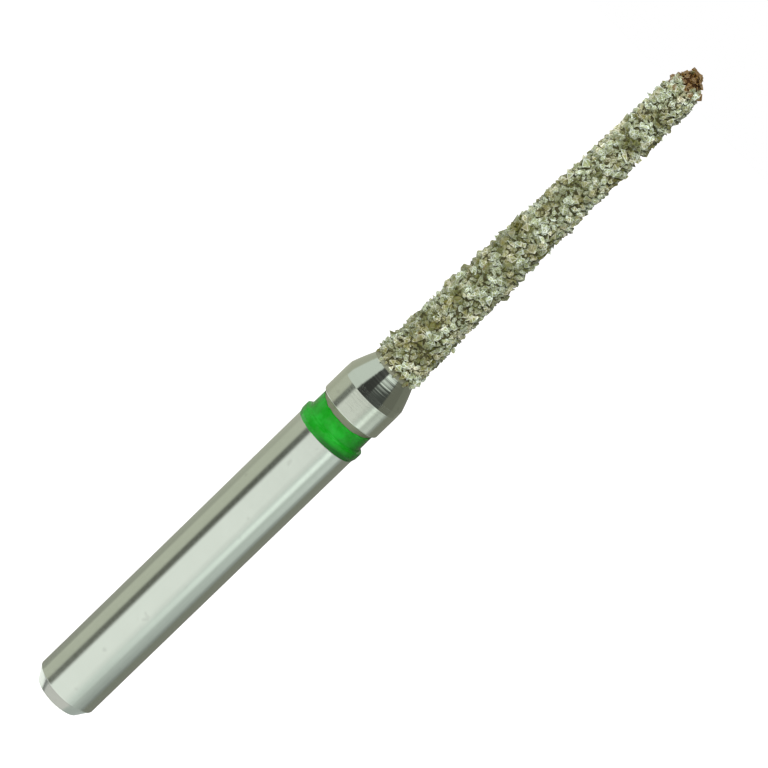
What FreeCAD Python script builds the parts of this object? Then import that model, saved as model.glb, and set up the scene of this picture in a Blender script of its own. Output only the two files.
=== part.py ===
import FreeCAD, Part
import math
import os
import random

from FreeCAD import Placement, Rotation, Vector

# A friction-grip dental bur with a long tapered diamond head.
# It is modelled upright, on its shank: Z runs up the axis of rotation to the
# tip, and the origin is the middle of the shank's end face. Millimetres.

# Overall
overall_length = 20.49
head_length = 9.49

# Shank
shank_diameter = 1.60
end_flat_diameter = 1.22
end_chamfer_length = 0.32
end_edge_round = 0.05

# Groove for the colour band
groove_width = 0.78
groove_depth = 0.095
groove_taper = 0.015
groove_bevel = 0.03

# Lacquer of the colour band: a thin film that swells to a bead over the groove's lower edge
# and leaves a strip of the groove bare below the collar
film_thickness = 0.02
bare_strip = 0.13
bead_stand_out = 0.038
bead_lap = 0.07
bead_crest_above_edge = 0.135
bead_end_above_edge = 0.31

# Collar and neck
collar_length = 0.65
land_length = 0.17
land_drop = 0.008
neck_half_angle = 22.7

# Head: the outline of the nickel that holds the grit
head_base_diameter = 1.135
head_shoulder_diameter = 0.754
ogive_length = 0.84
nose_radius = 0.21
nickel_thickness = 0.10
rim_diameter = 1.18
rim_lap = 0.21

# Facets of the nickel
nickel_sides = 16
nickel_row_height = 0.46
ogive_rows = 4
nose_rows = 3

# Grit
grain_size = 0.225
grain_size_spread = 0.22
grain_spacing = 0.268
grain_scatter = 0.05
grain_sink = 0.030
grain_stand_out = 0.05
grain_seed = 7


def point(radius, height):
    """A point of a turned outline, in the plane that is turned about Z."""
    return Vector(radius, 0, height)


def around(centre, reach, lean):
    """The point at that reach from a centre, in a direction that leans up from level."""
    return centre + point(math.cos(lean), math.sin(lean)) * reach


# Places along the axis, worked out from the tip down
shank_radius = shank_diameter / 2
groove_radius = shank_radius - groove_depth
groove_end_radius = groove_radius + groove_taper
coat_start = overall_length - head_length
head_base = point(head_base_diameter / 2, coat_start + rim_lap)
shoulder = point(head_shoulder_diameter / 2, overall_length - ogive_length)
taper_angle = math.atan2(head_base.x - shoulder.x, shoulder.z - head_base.z)
core_base = around(head_base, -nickel_thickness, taper_angle)
land_radius = shank_radius - land_drop
neck_start = core_base.z - (land_radius - core_base.x) / math.tan(math.radians(neck_half_angle))
collar_end = neck_start - land_length
groove_end = collar_end - collar_length
groove_start = groove_end - groove_width

# The nose is a ball. The ogive is the arc that runs from the taper into it without a corner.
nose_centre = point(0, overall_length - grain_stand_out - nose_radius)
nose_to_shoulder = shoulder - nose_centre
facing = nose_to_shoulder.dot(around(Vector(), 1, taper_angle)) - nose_radius
ogive_radius = (nose_to_shoulder.dot(nose_to_shoulder) - nose_radius ** 2) / (2 * facing)
ogive_centre = around(shoulder, -ogive_radius, taper_angle)
nose_angle = math.atan2(nose_centre.z - ogive_centre.z, -ogive_centre.x)


def arc_around(centre, reach, start, end):
    """The arc about a centre from one lean to another."""
    middle = (start + end) / 2
    return Part.Arc(*(around(centre, reach, lean) for lean in (start, middle, end))).toShape()


def head_outline(depth):
    """Taper, ogive and nose, that far under the outside of the nickel."""
    return [
        Part.makeLine(around(head_base, -depth, taper_angle), around(shoulder, -depth, taper_angle)),
        arc_around(ogive_centre, ogive_radius - depth, taper_angle, nose_angle),
        arc_around(nose_centre, nose_radius - depth, nose_angle, math.pi / 2),
    ]


def straight_edges(corners):
    return [Part.makeLine(start, end) for start, end in zip(corners, corners[1:])]


def turned(edges):
    """The solid that a closed outline makes when it is turned about Z."""
    solid = Part.Face(Part.Wire(edges)).revolve(Vector(), Vector(0, 0, 1), 360)
    if solid.Volume < 0:
        solid.reverse()
    return solid


def steel_blank():
    """Shank, groove, collar, neck and the core of the head, turned from one bar."""
    foot = point(0, 0)
    tip = around(nose_centre, nose_radius - nickel_thickness, math.pi / 2)
    corners = [
        tip,
        foot,
        point(end_flat_diameter / 2, 0),
        point(shank_radius, end_chamfer_length),
        point(shank_radius, groove_start),
        point(groove_radius, groove_start),
        point(groove_end_radius, groove_end),
        point(shank_radius - groove_bevel, groove_end),
        point(shank_radius, groove_end + groove_bevel),
        point(shank_radius, collar_end),
        point(land_radius, neck_start),
        core_base,
    ]
    blank = turned(straight_edges(corners) + head_outline(nickel_thickness))
    return blank.makeFillet(end_edge_round, [edge for edge in blank.Edges if bounds_end_chamfer(edge)])


def bounds_end_chamfer(edge):
    """True for the two circles where the shank's end chamfer meets its flat and its side."""
    if edge.Degenerated or not isinstance(edge.Curve, Part.Circle):
        return False
    height = edge.Curve.Center.z
    return min(abs(height), abs(height - end_chamfer_length)) < Part.Precision.confusion()


def colour_band():
    """The ring of lacquer in the groove, with its bead lapped over the shank."""
    foot = point(shank_radius, groove_start - bead_lap)
    crest = point(shank_radius + bead_stand_out, groove_start + bead_crest_above_edge)
    bead_end = above_floor(groove_start + bead_end_above_edge, film_thickness)
    corners = [
        bead_end,
        above_floor(groove_end - bare_strip, film_thickness),
        above_floor(groove_end - bare_strip, 0),
        point(groove_radius, groove_start),
        point(shank_radius, groove_start),
        foot,
    ]
    return turned(straight_edges(corners) + [crest_arc(foot, crest), crest_arc(bead_end, crest)])


def above_floor(height, thickness):
    """The point that far off the tapered floor of the groove, at that height."""
    share = (height - groove_start) / groove_width
    return point(groove_radius + groove_taper * share + thickness, height)


def crest_arc(foot, crest):
    """The arc from a foot to a crest, level with the axis at the crest."""
    rise = crest.x - foot.x
    run = crest.z - foot.z
    radius = (rise ** 2 + run ** 2) / (2 * rise)
    return arc_around(crest - point(radius, 0), radius, -math.asin(run / radius), 0)


def faceted_solid(corners, faces):
    """A closed solid with flat faces, each given as places in the list of corners."""
    flat = [Part.Face(Part.makePolygon([corners[i] for i in face + face[:1]])) for face in faces]
    solid = Part.Solid(Part.Shell(flat))
    if solid.Volume < 0:
        solid.reverse()
    return solid


def nickel_rings():
    """Where the rings of the nickel's corners lie on its outline, from the rim to the tip."""
    outline = head_outline(0)
    taper_rows = max(1, round(outline[0].Length / nickel_row_height))
    rings = [point(rim_diameter / 2, coat_start), head_base]
    for edge, rows in zip(outline, (taper_rows, ogive_rows, nose_rows)):
        rings += edge.discretize(rows + 1)[1:]
    return rings[:-1]


def nickel():
    """The plated nickel, filled inside, with flat facets for the grains to break through."""
    rings = nickel_rings()
    sides = range(nickel_sides)
    corners = []
    for ring in rings:
        for side in sides:
            turn = Rotation(Vector(0, 0, 1), 360 * side / nickel_sides)
            corners.append(turn.multVec(ring))
    faces = [list(sides), [len(corners) - 1 - side for side in sides]]
    for low in range(0, len(corners) - nickel_sides, nickel_sides):
        for side in sides:
            beside = (side + 1) % nickel_sides
            high = low + nickel_sides
            faces.append([low + side, low + beside, high + beside, high + side])
    return faceted_solid(corners, faces)


def octahedral_grain():
    """An eight-sided diamond crystal, its size measured between opposite corners."""
    half = grain_size / 2
    axes = (Vector(1, 0, 0), Vector(0, 1, 0), Vector(0, 0, 1))
    corners = [axis * reach for axis in axes for reach in (half, -half)]
    faces = [[a, b, c] for a in (0, 1) for b in (2, 3) for c in (4, 5)]
    return faceted_solid(corners, faces)


def cubic_grain():
    """A six-sided diamond crystal, its size measured between opposite corners too."""
    edge = grain_size / math.sqrt(3)
    return Part.makeBox(edge, edge, edge, Vector(1, 1, 1) * (-edge / 2))


def outline_place(outline, along):
    """The point at a length along an outline, and the direction out of it there."""
    for edge in outline:
        if along < edge.Length:
            break
        along -= edge.Length
    parameter = edge.getParameterByLength(min(along, edge.Length))
    tangent = edge.tangentAt(parameter)
    return edge.valueAt(parameter), point(tangent.z, -tangent.x)


def grains():
    """Crystals spread evenly over the head in a spiral, each turned and sized by chance."""
    chance = random.Random(grain_seed)
    kinds = [octahedral_grain(), cubic_grain()]
    outline = head_outline(0)
    golden_turn = 180 * (3 - math.sqrt(5))
    placed = []
    along = 0.0
    while along < sum(edge.Length for edge in outline):
        surface, outward = outline_place(outline, along + chance.uniform(-grain_scatter, grain_scatter))
        girth = 2 * math.pi * max(surface.x, grain_spacing / 2)
        scatter = 360 * chance.uniform(-grain_scatter, grain_scatter) / girth
        turn = Rotation(Vector(0, 0, 1), golden_turn * len(placed) + scatter)
        attitude = Rotation(chance.uniform(0, 360), chance.uniform(0, 360), chance.uniform(0, 360))
        grain = chance.choice(kinds).copy()
        grain.scale(1 + chance.uniform(-grain_size_spread, grain_size_spread))
        grain.Placement = Placement(turn.multVec(surface - outward * grain_sink), attitude)
        placed.append(grain)
        along += grain_spacing ** 2 / girth
    return placed


def diamond_coating(blank):
    """Nickel and grains as one plated layer, hollow where the steel is."""
    layer = nickel().fuse(grains()).cut(blank)
    return max(layer.Solids, key=lambda solid: solid.Volume)


def main():
    os.makedirs("parts", exist_ok=True)
    blank = steel_blank()
    nodes = {
        "steel_blank": blank,
        "colour_band": colour_band(),
        "diamond_coating": diamond_coating(blank),
    }
    for name, shape in nodes.items():
        shape.exportStep(f"parts/{name}.step")
        print(name, "solids", len(shape.Solids), "faces", len(shape.Faces), "valid", shape.isValid())


main()
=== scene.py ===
import math
import random

import bmesh
import bpy
from mathutils import Matrix, Vector, noise


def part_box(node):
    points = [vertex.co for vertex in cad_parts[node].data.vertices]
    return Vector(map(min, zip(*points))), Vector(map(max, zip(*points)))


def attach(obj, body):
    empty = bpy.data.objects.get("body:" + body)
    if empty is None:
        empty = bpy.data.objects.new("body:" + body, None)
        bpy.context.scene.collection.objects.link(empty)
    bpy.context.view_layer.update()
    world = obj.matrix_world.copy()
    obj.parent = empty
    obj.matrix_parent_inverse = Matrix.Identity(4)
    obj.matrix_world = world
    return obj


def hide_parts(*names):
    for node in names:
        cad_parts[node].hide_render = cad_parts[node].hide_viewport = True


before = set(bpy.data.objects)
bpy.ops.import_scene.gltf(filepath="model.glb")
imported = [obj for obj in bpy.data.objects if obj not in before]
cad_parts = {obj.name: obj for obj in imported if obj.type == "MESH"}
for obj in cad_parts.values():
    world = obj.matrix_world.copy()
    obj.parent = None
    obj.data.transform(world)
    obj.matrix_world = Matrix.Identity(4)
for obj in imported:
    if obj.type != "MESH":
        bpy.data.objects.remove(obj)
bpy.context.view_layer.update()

# A friction-grip dental bur with a long tapered diamond head. Shapes are made in
# millimetres, as the bur is drawn, and turned to metres when a piece is finished.
MM = 0.001

# Places and sizes that the frame gives
blank_box = [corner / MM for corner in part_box("steel_blank")]
band_box = [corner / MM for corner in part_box("colour_band")]
coat_box = [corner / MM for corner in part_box("diamond_coating")]
shank_radius = blank_box[1].x
band_foot = band_box[0].z
band_top = band_box[1].z
bead_radius = band_box[1].x
coat_start = coat_box[0].z

# Shank and groove
end_flat_radius = 0.61
end_chamfer_length = 0.32
end_round = 0.05
bead_lap = 0.07
bare_strip = 0.13
groove_start = band_foot + bead_lap
groove_end = band_top + bare_strip
groove_radius = 0.705
groove_end_radius = 0.72
groove_round = 0.03
collar_round = 0.03
edge_break = 0.012

# Lacquer: a bead over the groove's lower edge, and a thin film above it
bead_crest = groove_start + 0.135
bead_end = groove_start + 0.31
bead_inset = 0.006
bead_flat_below = 0.10
bead_flat_above = 0.05
bead_foot_round = 0.04
bead_round = 0.05
film_radius = groove_radius + 0.02
film_swell = 0.015
film_swell_below = 0.03
film_edge_thickness = 0.014
film_edge_round = 0.008
lap_sink = 0.002
film_sink = 0.004

# How the brush left the lacquer: the drift of its edges and the waves in its skin
brush_waves = 4
brush_pattern = 7.0
brush_wall = 0.01
foot_drift = 0.045
foot_drift_right = 0.025
foot_wander = 0.02
film_rise = 0.08
film_drop = 0.02
film_wander = 0.02
skin_waves = 0.005

# Collar and neck
collar_length = 0.65
land_length = 0.17
land_radius = 0.792
land_round = 0.03
neck_half_angle = math.radians(22.7)
neck_swell = 0.016
neck_rows = 8
collar_end = groove_end + collar_length
neck_start = collar_end + land_length

# Head
overall_length = 20.49
ogive_length = 0.84
nose_radius = 0.21
stand_out = 0.05
rim_radius = 0.588
rim_height = 0.04
rim_round = 0.015
rim_lap = 0.21
rim_bite = 0.01
head_base = Vector((0.5675, coat_start + rim_lap))
shoulder = Vector((0.377, overall_length - ogive_length))

# Nickel, and the knobs on it as heights with their number to the millimetre
nickel_thickness = 0.10
nickel_sink = 0.03
knobs_start = 0.03
knobs_run = 0.05
large_knobs = (0.018, 9)
small_knobs = (0.010, 23)

# Kinds of crystal, about a unit across: their number, and how far corners lie from the middle
crystal_seed = 11
face_hollow = 0.03
octahedra = 3
octahedron_reach = (0.35, 0.6)
blocks = 3
block_reach = (0.26, 0.33)
block_face_reach = 0.42
shards = 4
shard_corners = 9
shard_reach = (0.4, 0.55)

# Where the crystals lie on the head
bed_rim_inset = 0.02
bed_rim_rise = 0.03
coarse_start = 0.12
coarse_stop = 0.4

# Where finishes change along the axis
crisp = 0.01
groove_finish_lap = 0.002
turning_lead = 0.06
turning_run = 0.3
# Where the painted shade at the lacquer bead's foot fades out
lacquer_foot_start = groove_start + 0.06
lacquer_foot_end = groove_start + 0.20
nickel_rim_start = coat_start + 0.05
nickel_rim_end = coat_start + 0.14
stain_start = overall_length - 1.0
stain_full = overall_length - 0.1

# How far the fine relief of each finish stands out
rings_relief = 0.0004
turning_relief = 0.007
lacquer_relief = 0.02
nickel_relief = 0.03
crystal_relief = 0.006

# Colours and roughness of the steel
steel_dark = (0.63, 0.69, 0.605)
steel_light = (0.69, 0.75, 0.665)
collar_steel = (0.63, 0.68, 0.575)
# The bare groove floor under the collar: lacquer residue and painted shade
groove_residue_and_shade = (0.36, 0.39, 0.27)
steel_speck = (0.36, 0.38, 0.33)
speck_strength = 0.15
steel_rough = 0.13
rings_rough = 0.08
land_polish = 0.07
groove_rough = 0.3

# Colours and roughness of the lacquer
lacquer_deep = (0.003, 0.27, 0.005)
lacquer_bright = (0.014, 0.39, 0.024)
# Painted shade at the bead's foot, deepest on the bur's right side
lacquer_foot_shade = (0.001, 0.12, 0.002)
# Painted shade on the bur's right side, away from the lamps
lacquer_right_shade = (0.002, 0.15, 0.003)
right_shade_strength = 0.7
lacquer_rough = 0.16
lacquer_clouds_rough = 0.15
lacquer_ior = 1.38

# Colours and roughness of the nickel
nickel_dark = (0.05, 0.045, 0.012)
nickel_light = (0.20, 0.19, 0.09)
nickel_rim = (0.38, 0.39, 0.28)
nickel_stain = (0.09, 0.04, 0.012)
nickel_rough = 0.36
nickel_clouds_rough = 0.2
nickel_metal = 0.75

# Colours and roughness of the crystals, which have glassy faces and pale edges, partly frost and partly
# painted highlight
glass_dark = (0.055, 0.058, 0.008)
glass_light = (0.42, 0.48, 0.22)
glass_warm = (0.25, 0.21, 0.045)
glass_stain = (0.14, 0.070, 0.008)
edge_dark = (0.145, 0.155, 0.034)
# Painted highlight on the crystals' edges, with some frost, in a cool and a warm tint
edge_highlight_cool = (0.90, 1.0, 0.90)
edge_highlight_warm = (0.97, 0.96, 0.76)
edge_stain = (0.22, 0.12, 0.018)
edge_rough = 0.22
face_polish = 0.14
crystal_ior = 1.8

# Screens and floor of the studio
screen_reach = 70
screen_middle = 10
screen_step = 3
floor_level = -30
floor_half_side = 400
floor_grey = (0.8, 0.8, 0.8, 1.0)
floor_rough = 0.9
floor_glow = 0.95

# Light of the studio
white = (1.0, 1.0, 1.0)
olive = (1.0, 1.0, 0.86)
cool = (0.95, 1.0, 0.99)
pink = (1.0, 0.95, 0.96)
room_light = 0.19
lamp_aim = Vector((0, 0, 12))

# How finely round pieces are divided
round_sides = 160
arc_steps = 6
arc_margin = 1.3
head_spacing = 0.05
lining_spacing = 0.3
least_arc_rows = 2
on_axis = 1e-6

# The sockets of a Mix node for its factor and two colours, and for the colour it gives
mix_inputs = (0, 6, 7)
mix_output = 2

# The output of a Random Value node for each kind of value
random_outputs = {"FLOAT_VECTOR": 0, "FLOAT": 1}


def share(value):
    """A value held between 0 and 1."""
    return max(0.0, min(1.0, value))


def rounded_outline(corners):
    """Points along an outline of (radius, height, rounding) corners, with arcs at the rounded ones.

    A point a little before and after each arc keeps the long walls beside it flat in the light.
    """
    points = [Vector(corners[0][:2])]
    for before, corner, after in zip(corners, corners[1:], corners[2:]):
        place = Vector(corner[:2])
        if not corner[2]:
            points.append(place)
            continue
        back = (Vector(before[:2]) - place).normalized()
        ahead = (Vector(after[:2]) - place).normalized()
        half = back.angle(ahead) / 2
        centre = place + (back + ahead).normalized() * (corner[2] / math.sin(half))
        reach = corner[2] / math.tan(half)
        start = place + back * reach - centre
        end = place + ahead * reach - centre
        points.append(place + back * reach * arc_margin)
        for step in range(arc_steps + 1):
            points.append(centre + start.slerp(end, step / arc_steps) * corner[2])
        points.append(place + ahead * reach * arc_margin)
    points.append(Vector(corners[-1][:2]))
    return points


def turned(outline, closed_ring=False, shape=None):
    """A shell turned about Z from (radius, height) points. shape moves a point by its turn."""
    shell = bmesh.new()
    rings = []
    for radius, height in outline:
        if radius < on_axis:
            rings.append([shell.verts.new((0, 0, height))] * round_sides)
            continue
        ring = []
        for side in range(round_sides):
            turn = 2 * math.pi * side / round_sides
            r, z = shape(turn, radius, height) if shape else (radius, height)
            ring.append(shell.verts.new((r * math.cos(turn), r * math.sin(turn), z)))
        rings.append(ring)
    if closed_ring:
        rings.append(rings[0])
    for low, high in zip(rings, rings[1:]):
        for side in range(round_sides):
            beside = (side + 1) % round_sides
            corners = dict.fromkeys([low[side], low[beside], high[beside], high[side]])
            shell.faces.new(corners)
    bmesh.ops.recalc_face_normals(shell, faces=shell.faces)
    return shell


def drawn_mesh(shell, name):
    """The mesh of a shell in millimetres, as it is drawn."""
    mesh = bpy.data.meshes.new(name)
    shell.to_mesh(mesh)
    shell.free()
    return mesh


def finished_mesh(shell, name, smooth_angle=None):
    """The mesh of a shell in metres, with edges sharper than the angle left crisp."""
    mesh = drawn_mesh(shell, name)
    mesh.transform(Matrix.Scale(MM, 4))
    if smooth_angle is not None:
        mesh.shade_smooth()
        mesh.set_sharp_from_angle(angle=math.radians(smooth_angle))
    return mesh


def add_object(name, data):
    """A new object in the scene."""
    made = bpy.data.objects.new(name, data)
    bpy.context.scene.collection.objects.link(made)
    return made


def add_piece(mesh, material, node):
    """Adds a finished piece of the bur, which stands for a node of the frame."""
    piece = add_object(mesh.name, mesh)
    mesh.materials.clear()
    mesh.materials.append(material)
    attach(piece, "root")
    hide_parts(node)


class Number:
    """A number on a shader socket, so that sums on it can be written plainly."""

    def __init__(self, finish, socket):
        self.finish = finish
        self.socket = socket

    def __add__(self, other):
        return self.finish.maths("ADD", self, other)

    def __sub__(self, other):
        return self.finish.maths("SUBTRACT", self, other)

    def __rsub__(self, other):
        return self.finish.maths("SUBTRACT", other, self)

    def __mul__(self, other):
        return self.finish.maths("MULTIPLY", self, other)

    __radd__ = __add__
    __rmul__ = __mul__


def feed(links, socket, value):
    """Links a socket to the one that feeds it, or gives it a plain value."""
    if isinstance(value, Number):
        value = value.socket
    if isinstance(value, bpy.types.NodeSocket):
        links.new(value, socket)
    else:
        socket.default_value = value


class Finish:
    """A material, or the world, while its nodes are being laid."""

    def __init__(self, name, kind="materials"):
        self.block = getattr(bpy.data, kind).new(name)
        self.block.use_nodes = True
        self.nodes = self.block.node_tree.nodes
        self.links = self.block.node_tree.links
        self.nodes.clear()

    def node(self, kind, settings=None, sockets=None, output=0):
        """Adds a node, first its settings and then its sockets, and returns one of its outputs."""
        node = self.nodes.new("ShaderNode" + kind)
        for name, value in (settings or {}).items():
            setattr(node, name, value)
        for name, value in (sockets or {}).items():
            feed(self.links, node.inputs[name], value)
        return Number(self, node.outputs[output]) if len(node.outputs) else node

    def maths(self, operation, first, second):
        """One step of arithmetic on two numbers."""
        return self.node("Math", {"operation": operation}, {0: first, 1: second})

    def between(self, value, low, high):
        """0 below low, 1 above high, and a smooth rise between them."""
        return self.node(
            "MapRange",
            {"interpolation_type": "SMOOTHSTEP"},
            {"Value": value, "From Min": low, "From Max": high},
        )

    def place(self, stretch=(1, 1, 1)):
        """Where a point lies on the bur in millimetres, stretched along each axis."""
        seat = self.node("TexCoord", output="Object")
        scale = [1 / MM * k for k in stretch]
        return self.node("Mapping", {"vector_type": "POINT"}, {"Vector": seat, "Scale": scale})

    def along(self, axis):
        """How far along one axis a point lies, in millimetres."""
        return self.node("SeparateXYZ", None, {0: self.place()}, output=axis)

    def grain(self, scale, detail=2.0, roughness=0.5, stretch=(1, 1, 1)):
        """Smooth noise with about that many spots to the millimetre."""
        return self.node(
            "TexNoise",
            {"noise_dimensions": "3D"},
            {"Vector": self.place(stretch), "Scale": scale, "Detail": detail, "Roughness": roughness},
        )

    def mix(self, factor, first, second):
        """One colour turning into another."""
        node = self.nodes.new("ShaderNodeMix")
        node.data_type = "RGBA"
        for number, value in zip(mix_inputs, (factor, first, second)):
            colour = (*value, 1.0) if isinstance(value, tuple) else value
            feed(self.links, node.inputs[number], colour)
        return Number(self, node.outputs[mix_output])

    def bump(self, height, distance, under=None):
        """Relief that stands out by that many millimetres, laid over another relief if there is one."""
        sockets = {"Height": height, "Distance": distance * MM, "Strength": 1.0}
        if under:
            sockets["Normal"] = under
        return self.node("Bump", None, sockets)

    def surface(self, **sockets):
        """Ends the material in one Principled surface."""
        named = {name.replace("_", " "): value for name, value in sockets.items()}
        shader = self.node("BsdfPrincipled", None, named)
        self.node("OutputMaterial", None, {"Surface": shader})
        return self.block


def ground_steel():
    """Stainless bar, ground round and turned at the neck, with soft clouds, a few specks, and a groove
    floor darkened by lacquer residue and painted shade.
    """
    finish = Finish("ground steel")
    height = finish.along("Z")
    rings = finish.grain(3.0, detail=3.0, roughness=0.6, stretch=(0.25, 0.25, 9.0))
    turning = finish.grain(2.0, stretch=(0.2, 0.2, 6.0))
    clouds = finish.grain(1.1, detail=3.0, roughness=0.55)
    specks = finish.between(finish.grain(4.5, detail=1.0, roughness=0.4), 0.73, 0.78)
    collar_finish = groove_end + groove_finish_lap
    collar = finish.between(height, collar_finish, collar_finish + crisp)
    groove = finish.between(height, groove_start, groove_start + crisp) - collar
    land = finish.between(height, collar_end - crisp, collar_end + crisp)
    neck = finish.between(height, neck_start - turning_lead, neck_start + turning_run)
    colour = finish.mix(clouds, steel_dark, steel_light)
    colour = finish.mix(collar, colour, collar_steel)
    colour = finish.mix(specks * speck_strength, colour, steel_speck)
    # Painted shade, with some lacquer residue, on the bare groove floor under the collar
    colour = finish.mix(groove, colour, groove_residue_and_shade)
    rough = steel_rough + rings * rings_rough - land * land_polish + groove * groove_rough
    marks = finish.bump(rings, rings_relief)
    marks = finish.bump((turning - 0.5) * neck, turning_relief, under=marks)
    return finish.surface(Base_Color=colour, Metallic=1.0, Roughness=rough, Normal=marks)


def green_lacquer():
    """Glossy lacquer in two greens, with painted shade at its lower edge and on the bur's right side.
    """
    finish = Finish("green lacquer")
    clouds = finish.grain(2.2, detail=3.0, roughness=0.6)
    patches = finish.between(clouds, 0.35, 0.65)
    across = finish.along("X")
    right = finish.between(across, -0.35, 0.1)
    above_foot = finish.between(finish.along("Z"), lacquer_foot_start, lacquer_foot_end)
    # Painted shade along the bead's foot, stronger on the bur's right side
    foot = (1 - above_foot) * (right * 0.85 + 0.1)
    # Painted shade on the bur's right side
    right_side_shade = finish.between(across + clouds * 0.3, 0.55, 0.9)
    colour = finish.mix(patches, lacquer_deep, lacquer_bright)
    colour = finish.mix(foot, colour, lacquer_foot_shade)
    colour = finish.mix(right_side_shade * right_shade_strength, colour, lacquer_right_shade)
    waves = finish.bump(finish.grain(3.5), lacquer_relief)
    rough = lacquer_rough + clouds * lacquer_clouds_rough
    return finish.surface(Base_Color=colour, Roughness=rough, Normal=waves, IOR=lacquer_ior)


def tip_stain(finish):
    """How brown the grit is: patches on the last of its tip, and nothing lower down."""
    rise = finish.between(finish.along("Z"), stain_start, stain_full)
    return finish.between(rise * 0.8 + finish.grain(5.5) * 1.8, 1.25, 1.5)


def plated_nickel():
    """Dull rough nickel between the grains, paler at its rim and stained brown at the tip."""
    finish = Finish("plated nickel")
    clouds = finish.grain(3.0, detail=4.0, roughness=0.65)
    rim = 1 - finish.between(finish.along("Z"), nickel_rim_start, nickel_rim_end)
    colour = finish.mix(clouds, nickel_dark, nickel_light)
    colour = finish.mix(tip_stain(finish), colour, nickel_stain)
    colour = finish.mix(rim, colour, nickel_rim)
    knobs = finish.bump(finish.grain(14.0, detail=3.0, roughness=0.6), nickel_relief)
    rough = nickel_rough + clouds * nickel_clouds_rough
    return finish.surface(Base_Color=colour, Metallic=nickel_metal, Roughness=rough, Normal=knobs)


def diamond_grit():
    """Diamond crystals from dark olive to cream, each in its own tone, with clear glassy faces and pale
    edges that are partly frost and partly painted highlight.
    """
    finish = Finish("diamond grit")
    tone = finish.node("Attribute", {"attribute_name": "tone"}, output="Fac")
    core = finish.node("Attribute", {"attribute_name": "core"}, output="Fac")
    clouds = finish.grain(7.0)
    patches = finish.between(finish.grain(2.0, detail=3.0, roughness=0.65), 0.40, 0.60)
    tone = tone * 0.6 + patches * 0.4
    inside = finish.between(core + (clouds - 0.5) * 1.6, 0.0, 0.6)
    warm = finish.between(finish.grain(3.3, roughness=0.6), 0.45, 0.62)
    stain = tip_stain(finish)
    glass = finish.mix(tone, glass_dark, glass_light)
    glass = finish.mix(warm * 0.5, glass, glass_warm)
    glass = finish.mix(stain, glass, glass_stain)
    # The pale edges: partly frost, partly painted highlight, in cool and warm tints
    pale = finish.mix(warm, edge_highlight_cool, edge_highlight_warm)
    edges = finish.mix(finish.between(tone + clouds - 0.5, 0.0, 1.0), edge_dark, pale)
    edges = finish.mix(stain * 0.9, edges, edge_stain)
    colour = finish.mix(inside, edges, glass)
    rough = edge_rough - inside * face_polish
    pits = finish.bump(finish.grain(22.0), crystal_relief)
    return finish.surface(Base_Color=colour, Roughness=rough, Normal=pits, IOR=crystal_ior)


def neck_outline():
    """The neck from its land to the core of the head, a little swollen along its length."""
    start = Vector((land_radius, neck_start))
    end = head_outline(nickel_thickness)[0]
    outward = Vector((math.cos(neck_half_angle), math.sin(neck_half_angle)))
    points = []
    for row in range(1, neck_rows + 1):
        along = row / neck_rows
        points.append(start.lerp(end, along) + outward * neck_swell * 4 * along * (1 - along))
    return points


def turned_blank():
    """Shank, groove, collar, neck and core in one, with the small breaks that the edges have."""
    outline = rounded_outline([
        (0, 0, 0),
        (end_flat_radius, 0, end_round),
        (shank_radius, end_chamfer_length, end_round),
        (shank_radius, groove_start, edge_break),
        (groove_radius, groove_start, 0),
        (groove_end_radius, groove_end, groove_round),
        (shank_radius, groove_end, collar_round),
        (shank_radius, collar_end, edge_break),
        (land_radius, neck_start, land_round),
    ] + [(*point, 0) for point in neck_outline()])
    outline += head_outline(nickel_thickness)[1:]
    mesh = finished_mesh(turned(outline), "turned_blank", smooth_angle=25)
    add_piece(mesh, ground_steel(), "steel_blank")


def brushed(turn, radius, height):
    """Drifts the bead's foot and the film's edge round the ring, and waves the lacquer's skin."""
    around_ring = Vector((brush_waves * math.cos(turn), brush_waves * math.sin(turn), brush_pattern))
    quick = noise.noise(around_ring)
    right = share(math.cos(turn) + 0.5)
    out = max((radius - shank_radius) / brush_wall, (groove_start - height) / brush_wall)
    foot = share(out) * (foot_drift + foot_drift_right * right + foot_wander * quick)
    away = abs(math.cos(turn))
    up_film = max(0.0, (height - bead_end) / (band_top - bead_end))
    film = up_film * (film_rise * away ** 3 - film_drop - film_wander * quick)
    outside = share((radius - groove_radius) / brush_wall)
    return radius + outside * skin_waves * quick, height + foot + film


def lacquer_ring():
    """The green ring, brushed on: its bead and edges wander a little round the shank."""
    outline = rounded_outline([
        (groove_radius, groove_start, 0),
        (shank_radius - lap_sink, groove_start, 0),
        (shank_radius - lap_sink, band_foot, 0),
        (bead_radius - bead_inset, bead_crest - bead_flat_below, bead_foot_round),
        (bead_radius - bead_inset, bead_crest + bead_flat_above, bead_round),
        (film_radius + film_swell, bead_end - film_swell_below, bead_round),
        (groove_end_radius + film_edge_thickness, band_top, film_edge_round),
        (groove_end_radius - film_sink, band_top, 0),
    ])
    mesh = finished_mesh(turned(outline, True, brushed), "lacquer_ring", smooth_angle=50)
    add_piece(mesh, green_lacquer(), "colour_band")


def around(centre, reach, lean):
    """The point at that reach from a centre, in a direction that leans up from level."""
    return centre + Vector((math.cos(lean), math.sin(lean))) * reach


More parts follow.
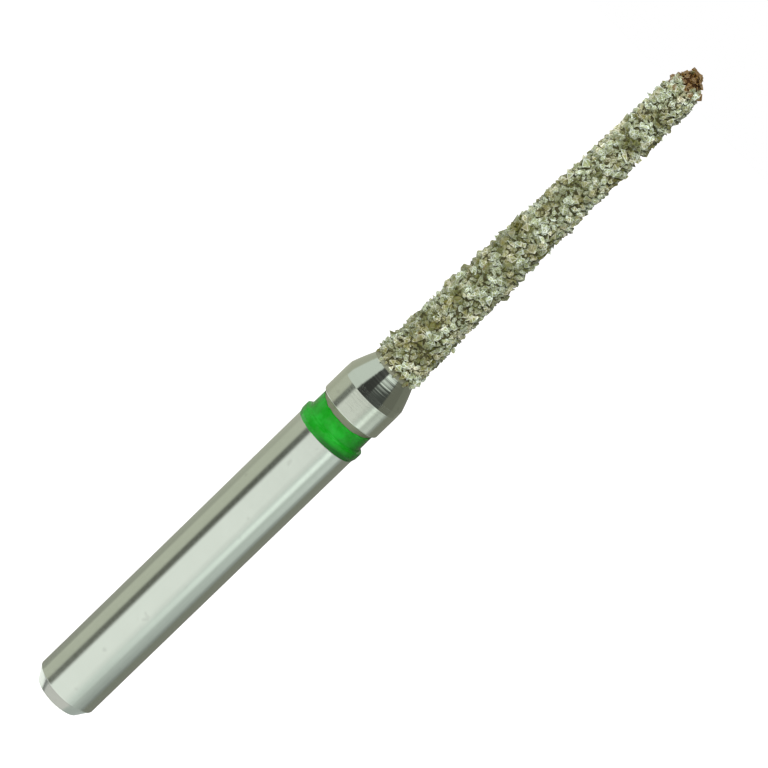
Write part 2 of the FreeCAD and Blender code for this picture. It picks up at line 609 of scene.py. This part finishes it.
def head_outline(depth=0.0, spacing=head_spacing):
    """Taper, ogive and nose of the head, that far under the outside of the nickel."""
    taper = math.atan2(head_base.x - shoulder.x, shoulder.y - head_base.y)
    nose_centre = Vector((0, overall_length - stand_out - nose_radius))
    to_shoulder = shoulder - nose_centre
    facing = to_shoulder.dot(around(Vector((0, 0)), 1, taper)) - nose_radius
    ogive_radius = (to_shoulder.length_squared - nose_radius ** 2) / (2 * facing)
    ogive_centre = around(shoulder, -ogive_radius, taper)
    nose_lean = math.atan2(nose_centre.y - ogive_centre.y, -ogive_centre.x)
    start = around(head_base, -depth, taper)
    end = around(shoulder, -depth, taper)
    rows = round((end - start).length / spacing)
    points = [start.lerp(end, row / rows) for row in range(rows)]
    arcs = (
        (ogive_centre, ogive_radius, taper, nose_lean),
        (nose_centre, nose_radius, nose_lean, math.pi / 2),
    )
    for centre, radius, low, high in arcs:
        rows = round(radius * (high - low) / spacing) + least_arc_rows
        for row in range(rows):
            points.append(around(centre, radius - depth, low + (high - low) * row / rows))
    points.append(Vector((0, nose_centre.y + nose_radius - depth)))
    return points


def knobbly(turn, radius, height):
    """Raises and lowers the nickel above its smooth rim."""
    inside = share((height - coat_start - knobs_start) / knobs_run)
    place = Vector((radius * math.cos(turn), radius * math.sin(turn), height))
    large, small = (size * noise.noise(place * scale) for size, scale in (large_knobs, small_knobs))
    return radius + inside * (large + small), height


def nickel_bond():
    """The plated layer, knobbly between the grains, from its thin rim to the tip."""
    neck_radius = land_radius - (coat_start - neck_start) * math.tan(neck_half_angle)
    rim = rounded_outline([
        (neck_radius - rim_bite, coat_start, 0),
        (rim_radius, coat_start, rim_round),
        (rim_radius, coat_start + rim_height, rim_round),
        (*head_base, 0),
    ])
    lining = list(reversed(head_outline(nickel_thickness / 2, lining_spacing)))[1:]
    shell = turned(rim[:-1] + head_outline(nickel_sink) + lining, True, knobbly)
    mesh = finished_mesh(shell, "nickel_bond", smooth_angle=60)
    add_piece(mesh, plated_nickel(), "diamond_coating")


def crystal(name, points):
    """A small closed crystal: the hull of a few points, with each face a little hollow.

    The middle of a face is marked as its core, so that the edges can be paler than the faces, partly as
    frost and partly as painted highlight.
    """
    shell = bmesh.new()
    core = shell.verts.layers.float.new("core")
    for point in points:
        shell.verts.new(point)
    bmesh.ops.convex_hull(shell, input=shell.verts)
    for middle in bmesh.ops.poke(shell, faces=shell.faces, offset=-face_hollow)["verts"]:
        middle[core] = 1.0
    bmesh.ops.recalc_face_normals(shell, faces=shell.faces)
    return bpy.data.objects.new(name, drawn_mesh(shell, name))


def crystals():
    """The kinds of crystal in the grit: octahedra, blocks and broken shards."""
    chance = random.Random(crystal_seed)
    kinds = bpy.data.collections.new("crystals")
    axes = [Vector(axis) for axis in ((1, 0, 0), (0, 1, 0), (0, 0, 1))]
    ways = [axis * sign for axis in axes for sign in (1, -1)]
    signs = [Vector((x, y, z)) for x in (1, -1) for y in (1, -1) for z in (1, -1)]
    for number in range(octahedra):
        corners = [way * chance.uniform(*octahedron_reach) for way in ways]
        kinds.objects.link(crystal(f"octahedron_{number}", corners))
    for number in range(blocks):
        corners = [sign * chance.uniform(*block_reach) for sign in signs]
        corners += [way * block_face_reach for way in ways]
        kinds.objects.link(crystal(f"block_{number}", corners))
    for number in range(shards):
        corners = []
        for _ in range(shard_corners):
            away = Vector([chance.gauss(0, 1) for _ in range(3)]).normalized()
            corners.append(away * chance.uniform(*shard_reach))
        kinds.objects.link(crystal(f"shard_{number}", corners))
    return kinds


def scatter_tree(kinds, material):
    """Geometry nodes that press crystals into a surface, each turned, sized and toned by chance."""
    tree = bpy.data.node_groups.new("grit", "GeometryNodeTree")
    interface = tree.interface
    interface.new_socket("Surface", in_out="INPUT", socket_type="NodeSocketGeometry")
    for name in ("Spacing", "Density", "Smallest", "Largest", "Lowest", "Highest", "Palest"):
        interface.new_socket(name, in_out="INPUT", socket_type="NodeSocketFloat")
    interface.new_socket("Seed", in_out="INPUT", socket_type="NodeSocketInt")
    interface.new_socket("Grit", in_out="OUTPUT", socket_type="NodeSocketGeometry")
    given = tree.nodes.new("NodeGroupInput").outputs

    def node(kind, settings=None, sockets=None):
        """Adds a node, first its settings and then its sockets."""
        made = tree.nodes.new(kind)
        for name, value in (settings or {}).items():
            setattr(made, name, value)
        for name, value in (sockets or {}).items():
            feed(tree.links, made.inputs[name], value)
        return made

    def chance(low, high, shift, kind="FLOAT"):
        """A value by chance between two limits, its seed moved on from the one that is given."""
        seed = node("ShaderNodeMath", {"operation": "ADD"}, {0: given["Seed"], 1: float(shift)})
        made = node("FunctionNodeRandomValue", {"data_type": kind}, {"Seed": seed.outputs[0]})
        limits = [socket for socket in made.inputs if socket.enabled and socket.name in ("Min", "Max")]
        for socket, value in zip(limits, (low, high)):
            feed(tree.links, socket, value)
        return made.outputs[random_outputs[kind]]

    spots = node(
        "GeometryNodeDistributePointsOnFaces",
        {"distribute_method": "POISSON"},
        {
            "Mesh": given["Surface"],
            "Distance Min": given["Spacing"],
            "Density Max": given["Density"],
            "Seed": given["Seed"],
        },
    )
    rise = chance(given["Lowest"], given["Highest"], 1)
    lift = node(
        "ShaderNodeVectorMath",
        {"operation": "SCALE"},
        {0: spots.outputs["Normal"], "Scale": rise},
    )
    raised = node(
        "GeometryNodeSetPosition",
        None,
        {"Geometry": spots.outputs["Points"], "Offset": lift.outputs[0]},
    )
    source = node(
        "GeometryNodeCollectionInfo",
        None,
        {"Collection": kinds, "Separate Children": True, "Reset Children": True},
    )
    placed = node(
        "GeometryNodeInstanceOnPoints",
        None,
        {
            "Points": raised.outputs[0],
            "Instance": source.outputs[0],
            "Pick Instance": True,
            "Rotation": chance((0, 0, 0), (math.tau, math.tau, math.tau), 2, "FLOAT_VECTOR"),
            "Scale": chance(given["Smallest"], given["Largest"], 3, "FLOAT_VECTOR"),
        },
    )
    toned = node(
        "GeometryNodeStoreNamedAttribute",
        {"data_type": "FLOAT", "domain": "INSTANCE"},
        {"Geometry": placed.outputs[0], "Name": "tone", "Value": chance(0.0, given["Palest"], 4)},
    )
    real = node("GeometryNodeRealizeInstances", None, {0: toned.outputs[0]})
    coated = node("GeometryNodeSetMaterial", None, {0: real.outputs[0], "Material": material})
    node("NodeGroupOutput", None, {0: coated.outputs[0]})
    return tree


def scattered(name, tree, surface, **sizes):
    """The plain mesh that the tree makes on a surface, in metres."""
    carrier = add_object(name, surface)
    modifier = carrier.modifiers.new("grit", "NODES")
    modifier.node_group = tree
    for item in tree.interface.items_tree:
        if item.name in sizes:
            modifier[item.identifier] = sizes[item.name]
    seen = bpy.context.evaluated_depsgraph_get()
    mesh = bpy.data.meshes.new_from_object(carrier.evaluated_get(seen))
    carrier.modifiers.remove(modifier)
    bpy.data.objects.remove(carrier)
    mesh.name = name
    mesh.transform(Matrix.Scale(MM, 4))
    return mesh


def bed(name, start, end):
    """The surface that crystals are pressed into, between two heights."""
    rim = Vector((rim_radius - bed_rim_inset, coat_start + bed_rim_rise))
    points = [point for point in [rim] + head_outline() if start <= point.y <= end]
    return drawn_mesh(turned(points), name)


def grit():
    """Coarse crystals all over the nickel, and finer chips in the gaps between them."""
    material = diamond_grit()
    tree = scatter_tree(crystals(), material)
    whole = bed("whole_bed", coat_start, overall_length)
    long_part = bed("long_bed", coat_start + coarse_start, overall_length - coarse_stop)
    meshes = [
        scattered("coarse_grit", tree, long_part, Spacing=0.18, Density=350.0, Smallest=0.13,
                  Largest=0.33, Lowest=-0.06, Highest=0.0, Palest=1.0, Seed=3),
        scattered("middle_grit", tree, whole, Spacing=0.12, Density=600.0, Smallest=0.09,
                  Largest=0.22, Lowest=-0.05, Highest=0.01, Palest=1.0, Seed=5),
        scattered("fine_grit", tree, whole, Spacing=0.085, Density=900.0, Smallest=0.07,
                  Largest=0.12, Lowest=-0.05, Highest=-0.03, Palest=0.5, Seed=8),
    ]
    for mesh in meshes:
        add_piece(mesh, material, "diamond_coating")


def glowing(shell, name):
    """A stage piece that only shows in reflections, and glows as its corners are coloured."""
    piece = add_object(name, finished_mesh(shell, name))
    finish = Finish(name)
    light = finish.node("Attribute", {"attribute_name": "glow"}, output="Color")
    shader = finish.node("Emission", None, {"Color": light, "Strength": 1.0})
    finish.node("OutputMaterial", None, {"Surface": shader})
    piece.data.materials.append(finish.block)
    piece.visible_camera = False
    piece.visible_diffuse = False
    piece.visible_shadow = False


def glow_colour(level, tint):
    """A tint at that level of light, as the colour of a corner."""
    return (*(level * part for part in tint), 1.0)


def screen(name, elevations, softness, panels):
    """A curved screen all round the bur, of panels side by side that blend where they meet.

    A panel starts at its azimuth and has one level of light up to the second elevation and
    another from the third. Azimuth 0 is the camera's side, and azimuths grow to its right.
    """
    shell = bmesh.new()
    glow = shell.verts.layers.float_color.new("glow")
    ends = [panel[0] for panel in panels[1:]] + [panels[0][0] + 360]
    columns = []
    for (start, low, high, tint), end in zip(panels, ends):
        steps = math.ceil((end - start) / screen_step)
        for step in range(steps + 1):
            azimuth = math.radians(start + softness + (end - start - 2 * softness) * step / steps)
            column = []
            for elevation, level in zip(elevations, (low, low, high, high)):
                height = screen_middle + screen_reach * math.tan(math.radians(elevation))
                place = (screen_reach * math.sin(azimuth), -screen_reach * math.cos(azimuth), height)
                column.append(shell.verts.new(place))
                column[-1][glow] = glow_colour(level, tint)
            columns.append(column)
    for left, right in zip(columns, columns[1:] + columns[:1]):
        for row in range(len(elevations) - 1):
            shell.faces.new([left[row], right[row], right[row + 1], left[row + 1]])
    glowing(shell, name)


def level_square(near, far, height):
    """A shell of one level face between two opposite corners."""
    shell = bmesh.new()
    corners = [(near[0], near[1]), (far[0], near[1]), (far[0], far[1]), (near[0], far[1])]
    shell.faces.new([shell.verts.new((x, y, height)) for x, y in corners])
    return shell


def table_card(name, near, far, rise, level, tint):
    """A flat card low under the bur, which shows in the steel's chamfer and rounded edges."""
    shell = level_square(near, far, floor_level + rise)
    glow = shell.verts.layers.float_color.new("glow")
    for corner in shell.verts:
        corner[glow] = glow_colour(level, tint)
    glowing(shell, name)


def screens():
    """The bands of light that the steel shows: a low screen, a high one, and cards under the bur."""
    screen("lower_screen", (-32, -26, -14, -11.5), 4, [
        (-180, 0.32, 0.53, olive),
        (-112, 0.58, 0.58, olive),
        (-66, 0.15, 0.09, olive),
        (-43.5, 1.0, 1.0, white),
        (22, 0.90, 0.88, white),
        (33, 0.79, 0.86, cool),
        (43, 0.69, 1.4, cool),
        (59, 0.52, 0.76, cool),
        (75, 0.42, 0.86, cool),
        (93, 0.30, 0.44, cool),
        (104, 0.24, 0.27, olive),
    ])
    screen("upper_screen", (-11.5, 25, 40, 60), 3, [
        (-180, 0.50, 0.50, olive),
        (-106, 0.78, 0.78, cool),
        (-40, 0.05, 0.12, white),
        (0, 0.08, 1.4, cool),
        (55, 0.18, 0.27, olive),
        (100, 0.22, 0.22, olive),
    ])
    table_card("table_left", (-26, -9), (-14, 9), 2, 0.18, white)
    table_card("table_far", (-60, 6), (14, 80), 1, 1.15, white)
    table_card("table_front", (-14, -22), (14, 6), 1, 0.70, pink)
    table_card("table_right", (14, -22), (60, 80), 1, 0.48, cool)
    table_card("table_near", (-45, -60), (45, -22), 1, 1.15, white)


def white_room():
    """A world that is white to the camera and in reflections, and much darker as light."""
    room = Finish("white room", "worlds")
    camera_ray = room.node("LightPath", output="Is Camera Ray")
    glossy_ray = room.node("LightPath", output="Is Glossy Ray")
    clear_ray = room.node("LightPath", output="Is Transmission Ray")
    seen = room.maths("MAXIMUM", room.maths("MAXIMUM", camera_ray, glossy_ray), clear_ray)
    light = room.mix(seen, (room_light, room_light, room_light), white)
    back = room.node("Background", None, {"Color": light})
    room.node("OutputWorld", None, {"Surface": back})
    bpy.context.scene.world = room.block


def pale_floor():
    """A plain floor well below the bur, which is held up by its shank."""
    half = floor_half_side
    square = level_square((-half, -half), (half, half), floor_level)
    floor = add_object("floor", finished_mesh(square, "floor"))
    finish = Finish("pale floor")
    lift = finish.node("LightPath", output="Is Camera Ray") * floor_glow
    shader = finish.node(
        "BsdfPrincipled",
        None,
        {
            "Base Color": floor_grey,
            "Roughness": floor_rough,
            "Emission Color": lift,
            "Emission Strength": 1.0,
        },
    )
    finish.node("OutputMaterial", None, {"Surface": shader})
    floor.data.materials.append(finish.block)


def lamp(name, spot, size, energy):
    """A round soft lamp aimed at the middle of the bur."""
    data = bpy.data.lights.new(name, "AREA")
    data.shape = "DISK"
    data.size = size * MM
    data.energy = energy
    piece = add_object(name, data)
    piece.location = spot * MM
    piece.rotation_mode = "QUATERNION"
    piece.rotation_quaternion = (spot - lamp_aim).to_track_quat("Z", "Y")
    piece.visible_camera = False
    piece.visible_glossy = False


def studio():
    """White surroundings, screens for the steel to reflect, and two soft lamps."""
    white_room()
    pale_floor()
    screens()
    lamp("top", Vector((-30, -60, 160)), size=36, energy=0.04)
    lamp("front", Vector((-24, -138, 90)), size=50, energy=0.23)


def camera():
    """The photograph's view: from the front and a little above, rolled to raise the tip."""
    rise = math.radians(13.5)
    lean = math.radians(44.08)
    distance = 81.9
    aim = Vector((0.066, 0, 10.6))
    data = bpy.data.cameras.new("camera")
    data.lens = 173.0
    data.sensor_width = 36.0
    data.clip_start = 1 * MM
    data.clip_end = 2000 * MM
    back = Vector((0, -math.cos(rise), math.sin(rise)))
    across = Vector((1, 0, 0))
    along = back.cross(across)
    right = across * math.sin(lean) + along * math.cos(lean)
    up = along * math.sin(lean) - across * math.cos(lean)
    view = add_object("camera", data)
    turn = Matrix((right, up, back)).transposed().to_4x4()
    view.matrix_world = Matrix.Translation((aim + back * distance) * MM) @ turn
    bpy.context.scene.camera = view


turned_blank()
lacquer_ring()
nickel_bond()
grit()
studio()
camera()
bpy.context.scene.view_settings.view_transform = "Standard"

bpy.context.view_layer.update()
